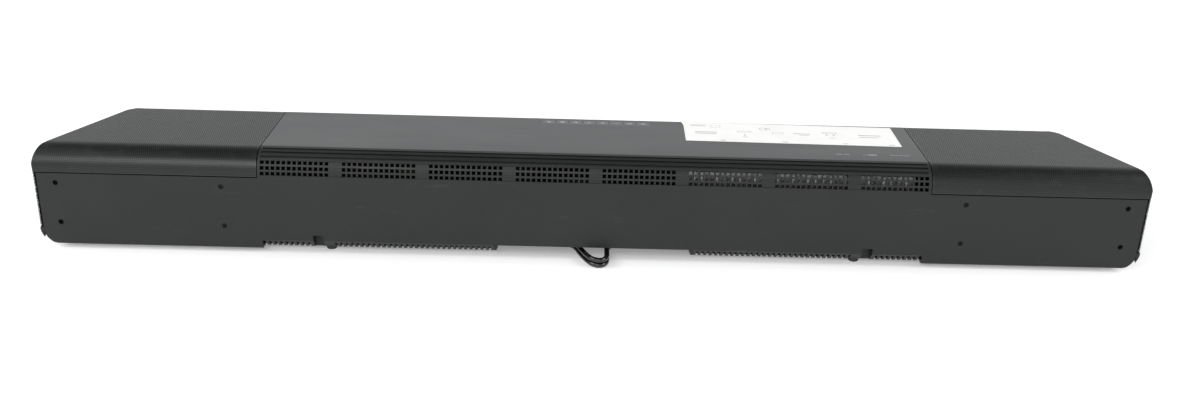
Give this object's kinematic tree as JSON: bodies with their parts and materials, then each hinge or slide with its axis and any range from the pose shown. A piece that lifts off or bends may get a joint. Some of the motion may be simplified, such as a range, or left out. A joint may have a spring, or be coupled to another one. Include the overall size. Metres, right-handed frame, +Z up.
{
  "type": "soundbar",
  "caption": "Long black soundbar with perforated end caps, a slotted rear vent strip, a sprung key strip, hooked wall slots and a cable bay holding its tied mains cord.",
  "frame": {"origin": "centre of the footprint on the surface that the bar stands on", "axes": "+Z up, +X along the bar to the right as seen from the front, -Y towards the listener, +Y the rear"},
  "size_m": [1.2, 0.1673, 0.1177],
  "materials": {
    "rear_plastic": "fine-textured moulded black plastic",
    "base_plastic": "moulded black plastic",
    "top_plastic": "satin black plastic",
    "grille_metal": "perforated sheet, matt black paint",
    "foot_rubber": "matt black rubber",
    "screw_steel": "blackened steel",
    "control_film": "smoked translucent film",
    "key_plastic": "satin key caps",
    "board_green": "solder-masked circuit board",
    "switch_metal": "stamped metal",
    "label_paper": "coated white paper",
    "frame_plastic": "structural black plastic",
    "basket_steel": "black painted pressed steel",
    "magnet_grey": "sintered ferrite",
    "surround_rubber": "soft rubber",
    "cone_paper": "coated paper pulp",
    "tweeter_black": "moulded face with a silk dome",
    "wadding_white": "polyester wadding",
    "sink_aluminium": "extruded, unpainted",
    "bright_steel": "tin-plated sheet",
    "socket_black": "moulded black plastic",
    "antenna_copper": "copper on a film",
    "loom_black": "sleeved wires",
    "cord_black": "glossy PVC jacket",
    "gland_black": "moulded PVC",
    "tie_fabric": "woven hook-and-loop strap",
    "pin_metal": "nickel-plated brass"
  },
  "bodies": {
    "cabinet": {"amp_board": "board_green", "antennas": "antenna_copper", "base_pan": "base_plastic", "base_screws": "screw_steel", "cable_bay": "base_plastic", "control_bezel": "control_film", "control_board": "board_green", "cord_gland": "gland_black", "cord_hank": "cord_black", "cord_tail": "cord_black", "cord_tie": "tie_fabric", "display_board": "board_green", "end_frame_left": "frame_plastic", "end_frame_right": "frame_plastic", "end_grille_left": "grille_metal", "end_grille_right": "grille_metal", "feet": "foot_rubber", "front_baffle": "frame_plastic", "front_grille": "grille_metal", "hdmi_sockets": "bright_steel", "heat_sink": "sink_aluminium", "info_label": "label_paper", "key_switches": "switch_metal", "main_board": "board_green", "mains_cord": "cord_black", "optical_socket": "socket_black", "plug_body": "gland_black", "plug_pins": "pin_metal", "port_plate": "bright_steel", "power_board": "board_green", "rear_panel": "rear_plastic", "rear_screws": "screw_steel", "shield_can": "bright_steel", "top_panel": "top_plastic", "tweeters": "tweeter_black", "upfire_baskets": "basket_steel", "upfire_magnets": "magnet_grey", "upfire_surrounds": "surround_rubber", "usb_socket": "bright_steel", "wadding_left": "wadding_white", "wadding_right": "wadding_white", "wireless_module": "board_green", "wiring_harness": "loom_black", "woofer_baskets": "basket_steel", "woofer_magnets": "magnet_grey", "woofer_surrounds": "surround_rubber"},
    "woofer_cone_1_unit": {"woofer_cone_1": "cone_paper"},
    "woofer_cone_2_unit": {"woofer_cone_2": "cone_paper"},
    "woofer_cone_3_unit": {"woofer_cone_3": "cone_paper"},
    "woofer_cone_4_unit": {"woofer_cone_4": "cone_paper"},
    "upfire_cone_left_unit": {"upfire_cone_left": "cone_paper"},
    "upfire_cone_right_unit": {"upfire_cone_right": "cone_paper"},
    "key_1_cap": {"key_1": "key_plastic"},
    "key_2_cap": {"key_2": "key_plastic"},
    "key_3_cap": {"key_3": "key_plastic"},
    "key_4_cap": {"key_4": "key_plastic"},
    "key_5_cap": {"key_5": "key_plastic"},
    "key_6_cap": {"key_6": "key_plastic"},
    "key_7_cap": {"key_7": "key_plastic"},
    "key_8_cap": {"key_8": "key_plastic"}
  },
  "joints": [
    {"name": "woofer_1_excursion", "type": "slide", "parent": "cabinet", "child": "woofer_cone_1_unit", "axis": [0, -1, 0], "range_m": [-0.0035, 0.0035], "stiffness_N_per_m": 2500},
    {"name": "woofer_2_excursion", "type": "slide", "parent": "cabinet", "child": "woofer_cone_2_unit", "axis": [0, -1, 0], "range_m": [-0.0035, 0.0035], "stiffness_N_per_m": 2500},
    {"name": "woofer_3_excursion", "type": "slide", "parent": "cabinet", "child": "woofer_cone_3_unit", "axis": [0, -1, 0], "range_m": [-0.0035, 0.0035], "stiffness_N_per_m": 2500},
    {"name": "woofer_4_excursion", "type": "slide", "parent": "cabinet", "child": "woofer_cone_4_unit", "axis": [0, -1, 0], "range_m": [-0.0035, 0.0035], "stiffness_N_per_m": 2500},
    {"name": "upfire_left_excursion", "type": "slide", "parent": "cabinet", "child": "upfire_cone_left_unit", "axis": [0, -0.2079, 0.9781], "range_m": [-0.002, 0.002], "stiffness_N_per_m": 2500},
    {"name": "upfire_right_excursion", "type": "slide", "parent": "cabinet", "child": "upfire_cone_right_unit", "axis": [0, -0.2079, 0.9781], "range_m": [-0.002, 0.002], "stiffness_N_per_m": 2500},
    {"name": "key_1_press", "type": "slide", "parent": "cabinet", "child": "key_1_cap", "axis": [0, 0, -1], "range_m": [0, 0.0006], "stiffness_N_per_m": 1200},
    {"name": "key_2_press", "type": "slide", "parent": "cabinet", "child": "key_2_cap", "axis": [0, 0, -1], "range_m": [0, 0.0006], "stiffness_N_per_m": 1200},
    {"name": "key_3_press", "type": "slide", "parent": "cabinet", "child": "key_3_cap", "axis": [0, 0, -1], "range_m": [0, 0.0006], "stiffness_N_per_m": 1200},
    {"name": "key_4_press", "type": "slide", "parent": "cabinet", "child": "key_4_cap", "axis": [0, 0, -1], "range_m": [0, 0.0006], "stiffness_N_per_m": 1200},
    {"name": "key_5_press", "type": "slide", "parent": "cabinet", "child": "key_5_cap", "axis": [0, 0, -1], "range_m": [0, 0.0006], "stiffness_N_per_m": 1200},
    {"name": "key_6_press", "type": "slide", "parent": "cabinet", "child": "key_6_cap", "axis": [0, 0, -1], "range_m": [0, 0.0006], "stiffness_N_per_m": 1200},
    {"name": "key_7_press", "type": "slide", "parent": "cabinet", "child": "key_7_cap", "axis": [0, 0, -1], "range_m": [0, 0.0006], "stiffness_N_per_m": 1200},
    {"name": "key_8_press", "type": "slide", "parent": "cabinet", "child": "key_8_cap", "axis": [0, 0, -1], "range_m": [0, 0.0006], "stiffness_N_per_m": 1200}
  ]
}
